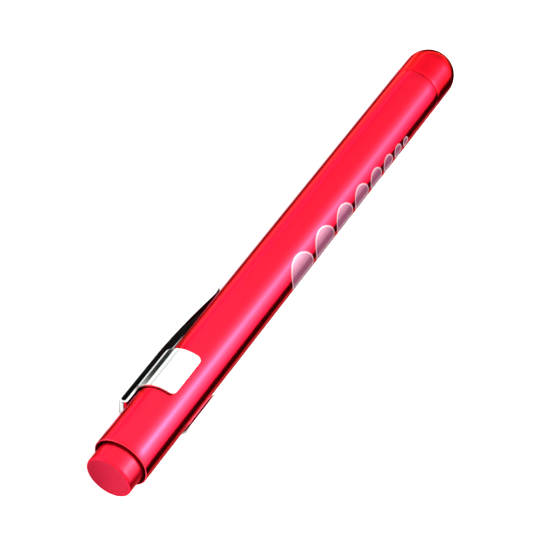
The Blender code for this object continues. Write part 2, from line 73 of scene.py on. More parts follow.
BARREL_LOW, BARREL_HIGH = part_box("barrel")
BUTTON_LOW, BUTTON_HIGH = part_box("push_button")
HEAD_LOW, HEAD_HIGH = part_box("head_cap")
BODY_R = (BARREL_HIGH.z - BARREL_LOW.z) / 2
AXIS_Y = (BARREL_LOW.y + BARREL_HIGH.y) / 2
AXIS_Z = (BARREL_LOW.z + BARREL_HIGH.z) / 2
TAIL_X = BARREL_LOW.x
SIDE = Vector(joint("clip_flex")["axis"])
OUT = SIDE.cross(Vector((1, 0, 0)))
TO_WORLD = Matrix((
    (0, 0, 1, TAIL_X),
    (OUT.y, SIDE.y, 0, AXIS_Y),
    (OUT.z, SIDE.z, 0, AXIS_Z),
    (0, 0, 0, 1),
))

BARREL_LENGTH = BARREL_HIGH.x - BARREL_LOW.x
BUTTON_OUT = TAIL_X - BUTTON_LOW.x
BUTTON_IN = BUTTON_HIGH.x - TAIL_X
BUTTON_R = (BUTTON_HIGH.z - BUTTON_LOW.z) / 2
TIP_FLAT = HEAD_HIGH.x - TAIL_X
SPIGOT_END = HEAD_LOW.x - TAIL_X

# How close a length or an angle is to count as equal, and how close a face is to count as a surface's.
SAME = 0.001 * MM
SAME_ANGLE = 1e-9
NEAR = 0.01 * MM

# Dimensions that the CAD nodes' boxes don't give, as they are in the CAD. Heights are from the tail rim.
RIM_EDGE = 0.15 * MM
RIM_STEPS = 4
MOUTH_R = 6.0 * MM
MOUTH_DEPTH = 0.45 * MM
BORE_R = 5.6 * MM
SOCKET_R = 5.8 * MM
SOCKET_END = 122.5 * MM
SOCKET_THREAD_DEPTH = 0.18 * MM
SHOULDER = BARREL_LENGTH + 0.15 * MM
DOME_CENTRE = 136.7 * MM
APERTURE_R = 2.75 * MM
THREAD_ROOT = 5.2 * MM
THREAD_DEPTH = 0.3 * MM
THREAD_PITCH = 1.25 * MM
THREAD_START = 123.6 * MM
THREAD_TURNS = 4
SEAL_Z = SHOULDER - 0.55 * MM
SEAL_GROOVE_R = 4.85 * MM
SEAL_GROOVE_HALF = 0.4 * MM
SPIGOT_CHAMFER = 0.2 * MM
HEAD_BORE_R = 4.55 * MM
LED_NECK_R = 3.6 * MM
LED_NECK_START = 134.5 * MM
LED_TOP = 141.2 * MM
LED_NECK_END = LED_TOP - 3.0 * MM
LED_CONE_END = LED_TOP - 2.0 * MM
LED_BASE = 132.6 * MM
LED_R = 2.5 * MM
LED_FLANGE_R = 2.9 * MM
LED_FLANGE = 1.0 * MM

SEGMENTS = 192
LED_SEGMENTS = 96
CUP_SEGMENTS = 64
SPOT_SEGMENTS = 48


# ---- Materials ----------------------------------------------------------------------------------
# A noise mostly stays between these.
NOISE_LOW, NOISE_HIGH = 0.3, 0.7


class Paint:
    """One procedural material: constants sit on the shader, and object-space noise varies it."""

    def __init__(self, name, **constants):
        self.material = bpy.data.materials.new(name)
        self.material.use_nodes = True
        self.tree = self.material.node_tree
        self.shader = self.tree.nodes["Principled BSDF"]
        self.place = self.tree.nodes.new("ShaderNodeTexCoord").outputs["Object"]
        self.normal = None
        for socket, value in constants.items():
            self.shader.inputs[socket.replace("_", " ")].default_value = value

    def noise(self, scale, detail=3.0, distortion=0.0):
        """Noise with a scale per axis, in features per metre."""
        mapping = self.tree.nodes.new("ShaderNodeMapping")
        mapping.inputs["Scale"].default_value = scale
        self.tree.links.new(self.place, mapping.inputs["Vector"])
        made = self.tree.nodes.new("ShaderNodeTexNoise")
        made.inputs["Scale"].default_value = 1.0
        made.inputs["Detail"].default_value = detail
        made.inputs["Distortion"].default_value = distortion
        self.tree.links.new(mapping.outputs["Vector"], made.inputs["Vector"])
        return made.outputs["Fac"]

    def mottle(self, factor, dark, pale, low=NOISE_LOW):
        """A base colour between two with a noise: dark up to low, and pale from as far below 1."""
        ramp = self.tree.nodes.new("ShaderNodeValToRGB")
        start, end = ramp.color_ramp.elements
        start.position, start.color = low, (*dark, 1)
        end.position, end.color = 1 - low, (*pale, 1)
        self.tree.links.new(factor, ramp.inputs["Fac"])
        self.tree.links.new(ramp.outputs["Color"], self.shader.inputs["Base Color"])

    def rough(self, factor, low, high):
        """Roughness that varies with a noise between two values."""
        spread = self.tree.nodes.new("ShaderNodeMapRange")
        spread.inputs["From Min"].default_value = NOISE_LOW
        spread.inputs["From Max"].default_value = NOISE_HIGH
        spread.inputs["To Min"].default_value = low
        spread.inputs["To Max"].default_value = high
        self.tree.links.new(factor, spread.inputs["Value"])
        self.tree.links.new(spread.outputs["Result"], self.shader.inputs["Roughness"])

    def bump(self, height, depth):
        """Relief of a given depth in metres; calls add up."""
        made = self.tree.nodes.new("ShaderNodeBump")
        made.inputs["Strength"].default_value = 1.0
        made.inputs["Distance"].default_value = depth
        self.tree.links.new(height, made.inputs["Height"])
        if self.normal:
            self.tree.links.new(self.normal, made.inputs["Normal"])
        self.normal = made.outputs["Normal"]
        self.tree.links.new(self.normal, self.shader.inputs["Normal"])


# Dye and oxide: the coat's weight and roughness, the tint at grazing angles, and how far the dye strays.
OXIDE = {"Coat_Weight": 0.1, "Coat_Roughness": 0.12, "Specular_Tint": (0.9, 0.05, 0.32, 1)}
DYE_PALE, DYE_DEEP = 1.03, 0.96
SATIN_DEPTH = 0.0005 * MM


def anodised(name, base, rough_low, rough_high, grain, depth):
    """Dyed, satin aluminium: a metal under a clear oxide, with cloudy dye and fine marks from the lathe."""
    paint = Paint(name, Metallic=1.0, **OXIDE)
    paint.mottle(paint.noise((420, 1100, 1100), 4.0), [channel * DYE_DEEP for channel in base],
                 [channel * DYE_PALE for channel in base])
    paint.rough(paint.noise((700, 2400, 2400)), rough_low, rough_high)
    paint.bump(paint.noise(grain, 2.0), depth)
    paint.bump(paint.noise((5200, 5200, 5200), 2.0), SATIN_DEPTH)
    return paint.material


def brushed(name, pale, dark, rough_low, rough_high, grain, depth):
    """Rolled or drawn metal: long fine scratches in one direction and faint cloudiness."""
    cloud = [scale * 0.4 for scale in grain]
    paint = Paint(name, Metallic=1.0)
    paint.mottle(paint.noise(cloud, 4.0), dark, pale, low=0.32)
    paint.rough(paint.noise(grain), rough_low, rough_high)
    paint.bump(paint.noise(grain, 4.0, distortion=0.2), depth)
    return paint.material


def plated(name, pale, dark, rough_low, rough_high):
    """Bright plating or turned brass, with a slight tarnish."""
    paint = Paint(name, Metallic=1.0)
    paint.mottle(paint.noise((900, 900, 900), 5.0), dark, pale, low=0.34)
    paint.rough(paint.noise((1500, 1500, 1500), 4.0), rough_low, rough_high)
    paint.bump(paint.noise((3500, 3500, 3500)), 0.002 * MM)
    return paint.material


def moulded(name, pale, dark, rough_low, rough_high, grain=2600, depth=0.006 * MM, **constants):
    """Moulded plastic, rubber, fibre or ink with a fine matt grain."""
    paint = Paint(name, **constants)
    paint.mottle(paint.noise((500, 500, 500), 4.0), dark, pale)
    paint.rough(paint.noise((1300, 1300, 1300)), rough_low, rough_high)
    paint.bump(paint.noise((grain, grain, grain)), depth)
    return paint.material


RED = (0.90, 0.0098, 0.036)
RED_HEAD = (0.86, 0.003, 0.017)
# The button's end face is a darker red as painted shade, for the shadowed table it faces; its real matt
# finish is its roughness.
RED_FACE_PAINTED_SHADE = (0.46, 0.014, 0.045)
RED_RIM = (0.93, 0.05, 0.09)
# The bore's near black is painted shade: the metal inside is as red as the rest, and the colour stands for
# the shadow in the recess.
BORE_PAINTED_SHADE = (0.10, 0.003, 0.008)
# Grains by the direction of their marks: round the pen, along it, and on the button's face.
TURNED = (9000, 260, 260)
DRAWN = (240, 5200, 5200)
RADIAL = (400, 2600, 2600)

BARREL_RED = anodised("anodised_barrel", RED, 0.15, 0.19, DRAWN, 0.0006 * MM)
BARREL_EDGE = anodised("anodised_rim", RED_RIM, 0.2, 0.3, TURNED, 0.0008 * MM)
HEAD_RED = anodised("anodised_head", RED_HEAD, 0.16, 0.22, TURNED, 0.0008 * MM)
BUTTON_RED = anodised("anodised_button", RED, 0.32, 0.40, TURNED, 0.0008 * MM)
FACE_PAINTED_SHADE = anodised("anodised_button_face_shaded", RED_FACE_PAINTED_SHADE, 0.36, 0.46, RADIAL, 0.002 * MM)
# Painted shade for the inside of the barrel and of the head.
INNER_PAINTED_SHADE = anodised("anodised_bore_painted_shade", BORE_PAINTED_SHADE, 0.4, 0.55, TURNED, 0.002 * MM)
CLIP_STEEL = brushed("clip_sheet", (0.83, 0.84, 0.83), (0.79, 0.80, 0.79), 0.05, 0.09,
                     (300, 7200, 7200), 0.0004 * MM)
CLIP_EDGE = brushed("clip_sheared_edge", (0.86, 0.86, 0.85), (0.72, 0.72, 0.71), 0.22, 0.38,
                    (2600, 2600, 2600), 0.003 * MM)
BRASS = plated("brass_turned", (0.83, 0.62, 0.30), (0.66, 0.45, 0.19), 0.18, 0.34)
SPRING = plated("spring_nickel", (0.78, 0.77, 0.73), (0.62, 0.60, 0.56), 0.14, 0.26)
RING = brushed("ring_plain_steel", (0.66, 0.66, 0.64), (0.5, 0.5, 0.48), 0.25, 0.4,
               (4200, 500, 500), 0.002 * MM)
TINNED = plated("lead_tinned", (0.82, 0.82, 0.80), (0.66, 0.66, 0.64), 0.2, 0.34)
CELL_STEEL = plated("cell_nickel", (0.80, 0.79, 0.76), (0.66, 0.65, 0.61), 0.16, 0.3)
WHITE_PLASTIC = moulded("plastic_white", (0.84, 0.83, 0.79), (0.77, 0.76, 0.71), 0.38, 0.52)
BLACK_PLASTIC = moulded("plastic_black", (0.03, 0.03, 0.032), (0.016, 0.016, 0.017), 0.4, 0.55)
RUBBER = moulded("rubber_black", (0.03, 0.03, 0.031), (0.015, 0.015, 0.015), 0.55, 0.72)
BOARD = moulded("board_mask", (0.02, 0.21, 0.07), (0.012, 0.15, 0.045), 0.28, 0.42, 1800)
CHIP = moulded("chip_ceramic", (0.035, 0.035, 0.038), (0.018, 0.018, 0.02), 0.35, 0.5)
FILLING = moulded("cell_paste", (0.05, 0.05, 0.05), (0.02, 0.02, 0.02), 0.7, 0.9, 1800, 0.02 * MM)
SLEEVE = moulded("cell_label", (0.06, 0.17, 0.42), (0.04, 0.13, 0.34), 0.22, 0.34, 1200)
WASHER = moulded("cell_fibre", (0.30, 0.21, 0.13), (0.20, 0.14, 0.08), 0.7, 0.9, 2200, 0.015 * MM)
INK_RING = moulded("ink_outline", (0.42, 0.19, 0.26), (0.39, 0.175, 0.24), 0.26, 0.36,
                   3800, 0.002 * MM, Metallic=0.25)
INK_FILL = moulded("ink_tint", (0.30, 0.07, 0.148), (0.275, 0.063, 0.134), 0.14, 0.2,
                   3800, 0.001 * MM, Metallic=0.4)
PHOSPHOR = moulded("led_phosphor", (0.95, 0.80, 0.22), (0.85, 0.68, 0.14), 0.45, 0.6, 5200)



def clear_epoxy():
    paint = Paint("led_epoxy", Transmission_Weight=1.0, IOR=1.5)
    paint.mottle(paint.noise((400, 400, 400)), (0.95, 0.97, 1.0), (1.0, 1.0, 1.0))
    paint.rough(paint.noise((900, 900, 900)), 0.02, 0.06)
    return paint.material


CLEAR = clear_epoxy()


# ---- Mesh tools ---------------------------------------------------------------------------------
def finish_piece(name, shape, materials, body, replaces=(), sharp=30):
    """Turns a bmesh in pen coordinates into a piece in place, riding on its body."""
    shape.transform(TO_WORLD)
    mesh = bpy.data.meshes.new(name)
    shape.to_mesh(mesh)
    shape.free()
    for material in materials:
        mesh.materials.append(material)
    mesh.shade_smooth()
    mesh.set_sharp_from_angle(angle=math.radians(sharp))
    piece = bpy.data.objects.new(name, mesh)
    bpy.context.scene.collection.objects.link(piece)
    if body:
        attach(piece, body)
    if replaces:
        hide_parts(*replaces)
    return piece


def arc(centre_r, centre_z, radius, start, end, steps):
    """(radius, height) points round a centre, between angles in degrees: 0 is outward, 90 headward."""
    angles = [math.radians(start + (end - start) * i / steps) for i in range(steps + 1)]
    return [(centre_r + radius * math.cos(a), centre_z + radius * math.sin(a)) for a in angles]


def face_between(shape, a, b, k):
    """The face between two rings at their k-th point; a ring of one point is a pole."""
    after = (k + 1) % max(len(a), len(b))
    corners = [a[k % len(a)], a[after % len(a)], b[after % len(b)], b[k % len(b)]]
    return shape.faces.new([v for n, v in enumerate(corners) if v not in corners[:n]])


def lathe(profile, closed=True, grow=None, paint=None, segments=SEGMENTS):
    """A turned shape: (radius, height) points. grow(angle, r, z) gives a point's radius, and
    paint(r, z) the material index of the face between a point and the next."""
    shape = bmesh.new()
    rings = []
    for r, z in profile:
        if r == 0:
            rings.append([shape.verts.new((0, 0, z))])
            continue
        ring = []
        for k in range(segments):
            angle = math.tau * k / segments
            radius = grow(angle, r, z) if grow else r
            ring.append(shape.verts.new((radius * math.cos(angle), radius * math.sin(angle), z)))
        rings.append(ring)
    count = len(rings)
    for i in range(count if closed else count - 1):
        a, b = rings[i], rings[(i + 1) % count]
        r, z = [(p + q) / 2 for p, q in zip(profile[i], profile[(i + 1) % count])]
        index = paint(r, z) if paint else 0
        for k in range(segments):
            face_between(shape, a, b, k).material_index = index
    bmesh.ops.recalc_face_normals(shape, faces=shape.faces)
    return shape


FADE_TURNS = 0.7
CREST = 0.8


def ridge(angle, z, start, shift=0.0):
    """Height of a right-hand thread over its root, from 0 to 1, with full crests and faded ends."""
    along = (z - start) / THREAD_PITCH
    phase = (z / THREAD_PITCH - angle / math.tau + shift) % 1
    height = max(0.0, 1 - abs(2 * phase - 1)) ** CREST
    fade = min(1, max(0, along / FADE_TURNS), max(0, (THREAD_TURNS - along) / FADE_TURNS))
    return height * fade


# ---- Barrel -------------------------------------------------------------------------------------
THREAD_ROWS = 14 * THREAD_TURNS
THREAD_LENGTH = THREAD_PITCH * THREAD_TURNS
FEMALE_START = 123.9 * MM
BARREL_STEPS = 60


def make_barrel():
    top = BARREL_LENGTH
    female_end = FEMALE_START + THREAD_LENGTH
    straight = top - 2 * RIM_EDGE
    profile = [(SOCKET_R, top - RIM_EDGE), (SOCKET_R + RIM_EDGE, top)]
    profile += arc(BODY_R - RIM_EDGE, top - RIM_EDGE, RIM_EDGE, 90, 0, RIM_STEPS)
    profile += [(BODY_R, top - RIM_EDGE - straight * i / BARREL_STEPS) for i in range(1, BARREL_STEPS)]
    profile += arc(BODY_R - RIM_EDGE, RIM_EDGE, RIM_EDGE, 0, -90, RIM_STEPS)
    profile += [(MOUTH_R, 0), (BORE_R, MOUTH_DEPTH)]
    profile += [(BORE_R, SOCKET_END - (SOCKET_R - BORE_R)), (SOCKET_R, SOCKET_END)]
    profile += [(SOCKET_R, FEMALE_START + THREAD_LENGTH * i / THREAD_ROWS) for i in range(THREAD_ROWS + 1)]

    def grow(angle, r, z):
        if abs(r - SOCKET_R) > SAME or not FEMALE_START <= z <= female_end:
            return r
        return r - SOCKET_THREAD_DEPTH * ridge(angle, z, FEMALE_START, shift=0.5)

    def paint(r, z):
        # Faces inside the mouth, bore and socket take the painted shade.
        if r < MOUTH_R and z < top - NEAR:
            return 2
        return 0 if r > BODY_R - NEAR else 1

    shape = lathe(profile, grow=grow, paint=paint)
    finish_piece("barrel_tube", shape, [BARREL_RED, BARREL_EDGE, INNER_PAINTED_SHADE], "barrel",
                 ["barrel"])


# ---- Button -------------------------------------------------------------------------------------
BUTTON_WALL = 0.8 * MM
BUTTON_FLOOR = 1.2 * MM
BUTTON_EDGE = 0.4 * MM
BUTTON_EDGE_STEPS = 10
BUTTON_FACE_ROW = 0.25 * MM


def make_button():
    inner, face = BUTTON_R - BUTTON_WALL, BUTTON_R - BUTTON_EDGE
    profile = [(0, BUTTON_FLOOR - BUTTON_OUT), (inner, BUTTON_FLOOR - BUTTON_OUT)]
    profile += [(inner, BUTTON_IN), (BUTTON_R, BUTTON_IN), (BUTTON_R, 0)]
    profile += arc(face, BUTTON_EDGE - BUTTON_OUT, BUTTON_EDGE, 0, -90, BUTTON_EDGE_STEPS)
    profile += [(face - BUTTON_FACE_ROW, -BUTTON_OUT), (BUTTON_R / 2, -BUTTON_OUT), (0, -BUTTON_OUT)]

    def paint(r, z):
        # The flat end face takes the painted shade.
        return 1 if z < -BUTTON_OUT + NEAR / 2 else 0

    shape = lathe(profile, closed=False, paint=paint)
    finish_piece("button_cup", shape, [BUTTON_RED, FACE_PAINTED_SHADE], "button", ["push_button"])


# ---- Head ---------------------------------------------------------------------------------------
APERTURE_LIP = 0.1 * MM
DOME_STEPS = 36
SKIRT_STEPS = 6


def make_head():
    thread_end = THREAD_START + THREAD_LENGTH
    dome_start = math.degrees(math.asin((TIP_FLAT - DOME_CENTRE) / BODY_R))
    skirt = DOME_CENTRE - SHOULDER - RIM_EDGE
    groove_head, groove_tail = SEAL_Z + SEAL_GROOVE_HALF, SEAL_Z - SEAL_GROOVE_HALF
    profile = [(APERTURE_R, TIP_FLAT - APERTURE_LIP), (APERTURE_R + APERTURE_LIP, TIP_FLAT)]
    profile += arc(0, DOME_CENTRE, BODY_R, dome_start, 0, DOME_STEPS)
    profile += [(BODY_R, DOME_CENTRE - skirt * i / SKIRT_STEPS) for i in range(1, SKIRT_STEPS)]
    profile += arc(BODY_R - RIM_EDGE, SHOULDER + RIM_EDGE, RIM_EDGE, 0, -90, RIM_STEPS)
    profile += [(THREAD_ROOT, SHOULDER), (THREAD_ROOT, groove_head), (SEAL_GROOVE_R, groove_head)]
    profile += [(SEAL_GROOVE_R, groove_tail), (THREAD_ROOT, groove_tail)]
    profile += [(THREAD_ROOT, thread_end - THREAD_LENGTH * i / THREAD_ROWS) for i in range(THREAD_ROWS + 1)]
    profile += [(THREAD_ROOT, SPIGOT_END + SPIGOT_CHAMFER), (THREAD_ROOT - SPIGOT_CHAMFER, SPIGOT_END)]
    profile += [(HEAD_BORE_R, SPIGOT_END), (HEAD_BORE_R, LED_NECK_START), (LED_NECK_R, LED_NECK_START)]
    profile += [(LED_NECK_R, LED_NECK_END), (APERTURE_R, LED_CONE_END)]

    def grow(angle, r, z):
        if abs(r - THREAD_ROOT) > SAME or not THREAD_START <= z <= thread_end:
            return r
        return r + THREAD_DEPTH * ridge(angle, z, THREAD_START)

    def paint(r, z):
        # Faces inside the head take the same painted shade.
        return 1 if r < HEAD_BORE_R + NEAR and z < TIP_FLAT - APERTURE_LIP else 0

    shape = lathe(profile, grow=grow, paint=paint)
    finish_piece("head_dome", shape, [HEAD_RED, INNER_PAINTED_SHADE], "head", ["head_cap"])


# The light's dome, its cup with a post, a rim and a hollow, and the spot of phosphor in the hollow,
# whose crown is (radius, depth below the cup's rim).
LENS_STEPS = 24
CUP_FOOT = LED_BASE + 0.4 * MM
CUP_SHOULDER = LED_BASE + 2.6 * MM
CUP_TOP = LED_BASE + 4.4 * MM
CUP_HOLLOW = CUP_TOP - 0.5 * MM
CUP_POST_R = 0.55 * MM
CUP_SHOULDER_R = 0.9 * MM
CUP_R = 1.15 * MM
CUP_RIM = 0.15 * MM
SPOT_BASE = CUP_HOLLOW + 0.03 * MM
SPOT_CROWN = ((0, 0.02 * MM), (0.6 * MM, 0.08 * MM), (0.95 * MM, 0.2 * MM))
SPOT_BASE_R = 0.5 * MM


def make_light():
    """The clear light, with its cup, its post and the yellow spot in the cup."""
    profile = arc(0, LED_TOP - LED_R, LED_R, 90, 0, LENS_STEPS)
    profile[0] = (0, LED_TOP)
    profile += [(LED_R, LED_BASE + LED_FLANGE), (LED_FLANGE_R, LED_BASE + LED_FLANGE)]
    profile += [(LED_FLANGE_R, LED_BASE), (0, LED_BASE)]
    shape = lathe(profile, closed=False, segments=LED_SEGMENTS)
    finish_piece("led_lens", shape, [CLEAR], "head", ["led_body"])

    cup = [(0, CUP_HOLLOW), (CUP_POST_R, CUP_HOLLOW), (CUP_R, CUP_TOP), (CUP_R + CUP_RIM, CUP_TOP)]
    cup += [(CUP_SHOULDER_R, CUP_SHOULDER), (CUP_POST_R, CUP_FOOT), (0, CUP_FOOT)]
    shape = lathe(cup, closed=False, segments=CUP_SEGMENTS)
    finish_piece("led_cup", shape, [TINNED], "head")

    spot = [(r, CUP_TOP - depth) for r, depth in SPOT_CROWN]
    spot += [(SPOT_BASE_R, SPOT_BASE), (0, SPOT_BASE)]
    shape = lathe(spot, closed=False, segments=SPOT_SEGMENTS)
    finish_piece("led_spot", shape, [PHOSPHOR], "head")


# ---- Clip ---------------------------------------------------------------------------------------
# A narrow row of faces along the band's edges keeps the broken edge's shading off the wide ones.
SHEET = 0.5 * MM
EDGE_ROW = 0.12 * MM
EDGE_BREAK = 0.06 * MM
BAND_TAIL = 16.0 * MM
BAND_HEAD = 27.4 * MM
BAND_INNER_R = BODY_R + 0.2 * MM
BAND_OUTER_R = BAND_INNER_R + SHEET
CORNER_R = 1.2 * MM
FILLET_R = 0.6 * MM
FRONT_WING_END = math.radians(112)
BACK_WING_END = math.radians(-158)
FLARE_START = math.radians(-115)
FLARE = 0.1 * MM
SPINE_X = BODY_R + 0.1 * MM
SPINE_BLEND_START = math.radians(28)
SPINE_BLEND_END = math.radians(46)
ARM_HALF_WIDTH = 2.1 * MM
ARM_TIP_HALF_WIDTH = 1.5 * MM
SPINE_EDGE = math.atan2(ARM_HALF_WIDTH, SPINE_X)
FOLD_GAP = 1.1 * MM
FOLD_X = SPINE_X + SHEET + FOLD_GAP / 2
FOLD_CENTRE = 12.9 * MM
ARM_REST = 0.3 * MM
TIP_LIFT = 0.35 * MM
ARM_CURVE = 1.75
ARM_STRAIGHT_END = 13.7 * MM
ARM_TOUCH = 35.0 * MM
ARM_TIP = 37.7 * MM
NOSE_CUT = 0.94
BAND_STEPS = 150
CORNER_STEPS = 10
NECK_STEPS = 6
FOLD_STEPS = 28
STRAIGHT_STEPS = 8
CURVE_STEPS = 30
TIP_STEPS = 20


def smooth_step(value):
    held = min(1, max(0, value))
    return held * held * (3 - 2 * held)


def band_inner_radius(angle):
    """The band's inner face: flat behind the arm, easing on to the barrel, with a flared back end."""
    flat = SPINE_X / math.cos(min(abs(angle), SPINE_EDGE))
    blend = smooth_step((abs(angle) - SPINE_BLEND_START) / (SPINE_BLEND_END - SPINE_BLEND_START))
    flare = FLARE * smooth_step((FLARE_START - angle) / (FLARE_START - BACK_WING_END))
    return flat + (BAND_INNER_R - flat) * blend + flare


def corner_inset(distance, radius):
    """How far a rounded corner pulls an edge in, at a distance from the sheet's end."""
    if distance >= radius:
        return 0
    return radius - math.sqrt(radius * radius - (radius - distance) ** 2)


def band_angles():
    """Angles of the band's columns: even steps, with closer ones at the corners and beside the neck."""
    span = FRONT_WING_END - BACK_WING_END
    corner, fillet = CORNER_R / BAND_OUTER_R, FILLET_R / BAND_OUTER_R
    low, high = BACK_WING_END + corner * 1.05, FRONT_WING_END - corner * 1.05
    even = [BACK_WING_END + span * i / BAND_STEPS for i in range(BAND_STEPS + 1)]
    angles = {a for a in even if low < a < high and abs(a) > SPINE_EDGE + fillet * 1.1}
    for i in range(1, CORNER_STEPS + 1):
        share = (i / CORNER_STEPS) ** 2
        angles |= {BACK_WING_END + corner * share, FRONT_WING_END - corner * share}
        angles |= {side * (SPINE_EDGE + fillet * share) for side in (-1, 1)}
    angles |= {SPINE_EDGE * i / NECK_STEPS for i in range(-NECK_STEPS, NECK_STEPS + 1)}
    angles |= {BACK_WING_END, FRONT_WING_END}
    return sorted(angles)


def arm_inner_path():
    """The arm's inner face, from the fold's centre: (distance out, distance along), to the raised tip."""
    rest = FOLD_GAP / 2
    drop = rest + FOLD_X - (BODY_R + ARM_REST)
    path = [(rest, ARM_STRAIGHT_END * i / STRAIGHT_STEPS) for i in range(1, STRAIGHT_STEPS)]
    for i in range(CURVE_STEPS + 1):
        share = i / CURVE_STEPS
        along = ARM_STRAIGHT_END + (ARM_TOUCH - ARM_STRAIGHT_END) * share
        path.append((rest - drop * share ** ARM_CURVE, along))
    for i in range(1, TIP_STEPS + 1):
        share = i / TIP_STEPS
        path.append((rest - drop + TIP_LIFT * share * share, ARM_TOUCH + (ARM_TIP - ARM_TOUCH) * share))
    return path


def arm_outer_path():
    """The same path moved out by the sheet's thickness: (x, z) in pen coordinates, and the distance along."""
    inner = arm_inner_path()
    points = []
    for i, (out, along) in enumerate(inner):
        before, after = inner[max(0, i - 1)], inner[min(len(inner) - 1, i + 1)]
        run = Vector((after[0] - before[0], after[1] - before[1])).normalized()
        points.append((FOLD_X + out + SHEET * run.y, FOLD_CENTRE + along - SHEET * run.x, along))
    return points


def arm_half_width(along):
    """The arm narrows towards its tip and ends in a round nose, cut off just short of its point."""
    nose_start = ARM_TIP - ARM_TIP_HALF_WIDTH
    if along <= ARM_STRAIGHT_END:
        return ARM_HALF_WIDTH
    if along <= nose_start:
        share = (along - ARM_STRAIGHT_END) / (nose_start - ARM_STRAIGHT_END)
        return ARM_HALF_WIDTH + (ARM_TIP_HALF_WIDTH - ARM_HALF_WIDTH) * share
    share = min(NOSE_CUT, (along - nose_start) / ARM_TIP_HALF_WIDTH)
    return ARM_TIP_HALF_WIDTH * math.sqrt(1 - share * share)


def clip_face():
    """One face of the clip's sheet: the band's inner face and the arm's outer one, joined by the fold."""
    shape = bmesh.new()
    columns, strips = [], []
    outer_path = arm_outer_path()
    fold_r = FOLD_GAP / 2 + SHEET
    fold_turns = [math.pi * i / FOLD_STEPS for i in range(FOLD_STEPS + 1)]
    for angle in band_angles():
        radius = band_inner_radius(angle)
        x, y = radius * math.cos(angle), radius * math.sin(angle)
        from_end = min(angle - BACK_WING_END, FRONT_WING_END - angle) * BAND_OUTER_R
        inset = corner_inset(from_end, CORNER_R)
        from_neck = max(0, abs(angle) - SPINE_EDGE) * BAND_OUTER_R
        tail = BAND_TAIL + inset - corner_inset(from_neck, FILLET_R)
        rows = (BAND_HEAD - inset, BAND_HEAD - inset - EDGE_ROW, tail + EDGE_ROW, tail)
        columns.append([shape.verts.new((x, y, z)) for z in rows])
        if abs(angle) > SPINE_EDGE + SAME_ANGLE:
            continue
        strip = [columns[-1][-1]]
        for turn in fold_turns:
            strip.append(shape.verts.new((FOLD_X - fold_r * math.cos(turn), y,
                                          FOLD_CENTRE - fold_r * math.sin(turn))))
        share = y / ARM_HALF_WIDTH
        for px, pz, along in outer_path:
            strip.append(shape.verts.new((px, share * arm_half_width(along), pz)))
        strips.append(strip)
    for left, right in list(zip(columns, columns[1:])) + list(zip(strips, strips[1:])):
        for i in range(len(left) - 1):
            shape.faces.new((left[i], left[i + 1], right[i + 1], right[i]))
    return shape


def make_clip():
    """The whole clip as one stamped sheet with broken edges: band, neck, fold and arm."""
    clip = finish_piece("pocket_clip", clip_face(), [CLIP_STEEL, CLIP_EDGE], None,
                        ["clip_band", "clip_arm"], sharp=180)
    solid = clip.modifiers.new("sheet", "SOLIDIFY")
    solid.thickness = SHEET
    solid.offset = 1
    solid.use_even_offset = True
    solid.material_offset_rim = 1
    soften = clip.modifiers.new("soften", "BEVEL")
    soften.width = EDGE_BREAK
    soften.segments = 2
    soften.limit_method = "ANGLE"
    soften.angle_limit = math.radians(50)
    made = bpy.data.meshes.new_from_object(clip.evaluated_get(bpy.context.evaluated_depsgraph_get()))
    clip.modifiers.clear()
    clip.data = made
    made.shade_smooth()
    made.set_sharp_from_angle(angle=math.radians(40))
    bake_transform(clip)


# ---- Pupil gauge --------------------------------------------------------------------------------
# Discs from the largest to the smallest whole millimetre, with gaps that shrink by a step each time.
GAUGE_LARGEST = 9
GAUGE_SMALLEST = 2
GAUGE_START = 59.7 * MM
GAUGE_FIRST_GAP = 1.65 * MM
GAUGE_GAP_STEP = 0.065 * MM
GAUGE_ANGLE = math.radians(172)
OUTLINE_HALF = 0.2 * MM
TINT_LIFT = 0.008 * MM
OUTLINE_LIFT = 0.016 * MM
INK_THICKNESS = 0.012 * MM
INK_SPOKES = 96
INK_STEPS = 10


def printed(name, centre_z, inner, outer, lift, material):
    """A disc or a ring of ink that lies round the barrel; flat radii are laid along its surface."""
    shape = bmesh.new()
    radii = [inner + (outer - inner) * i / INK_STEPS for i in range(INK_STEPS + 1)]
    sides = []
    for height in (BODY_R + lift + INK_THICKNESS, BODY_R + lift):
        rings = []
        for radius in radii:
            ring = []
            for k in range(INK_SPOKES if radius else 1):
                turn = math.tau * k / INK_SPOKES
                angle = GAUGE_ANGLE + radius * math.sin(turn) / BODY_R
                ring.append(shape.verts.new((height * math.cos(angle), height * math.sin(angle),
                                             centre_z + radius * math.cos(turn))))
            rings.append(ring)
        sides.append(rings)
    top, bottom = sides
    joined = list(zip(top, top[1:])) + list(zip(bottom, bottom[1:])) + [(top[-1], bottom[-1])]
    if inner:
        joined.append((top[0], bottom[0]))
    for a, b in joined:
        for k in range(INK_SPOKES):
            face_between(shape, a, b, k)
    bmesh.ops.recalc_face_normals(shape, faces=shape.faces)
    finish_piece(name, shape, [material], "barrel", sharp=50)


def make_gauge():
    start, gap = GAUGE_START, GAUGE_FIRST_GAP
    for size in range(GAUGE_LARGEST, GAUGE_SMALLEST - 1, -1):
        radius = size * MM / 2
        centre = start + radius
        inner, outer = radius - OUTLINE_HALF, radius + OUTLINE_HALF
        printed(f"gauge_{size}_tint", centre, 0, inner, TINT_LIFT, INK_FILL)
        printed(f"gauge_{size}_outline", centre, inner, outer, OUTLINE_LIFT, INK_RING)
        start += size * MM + gap
        gap -= GAUGE_GAP_STEP


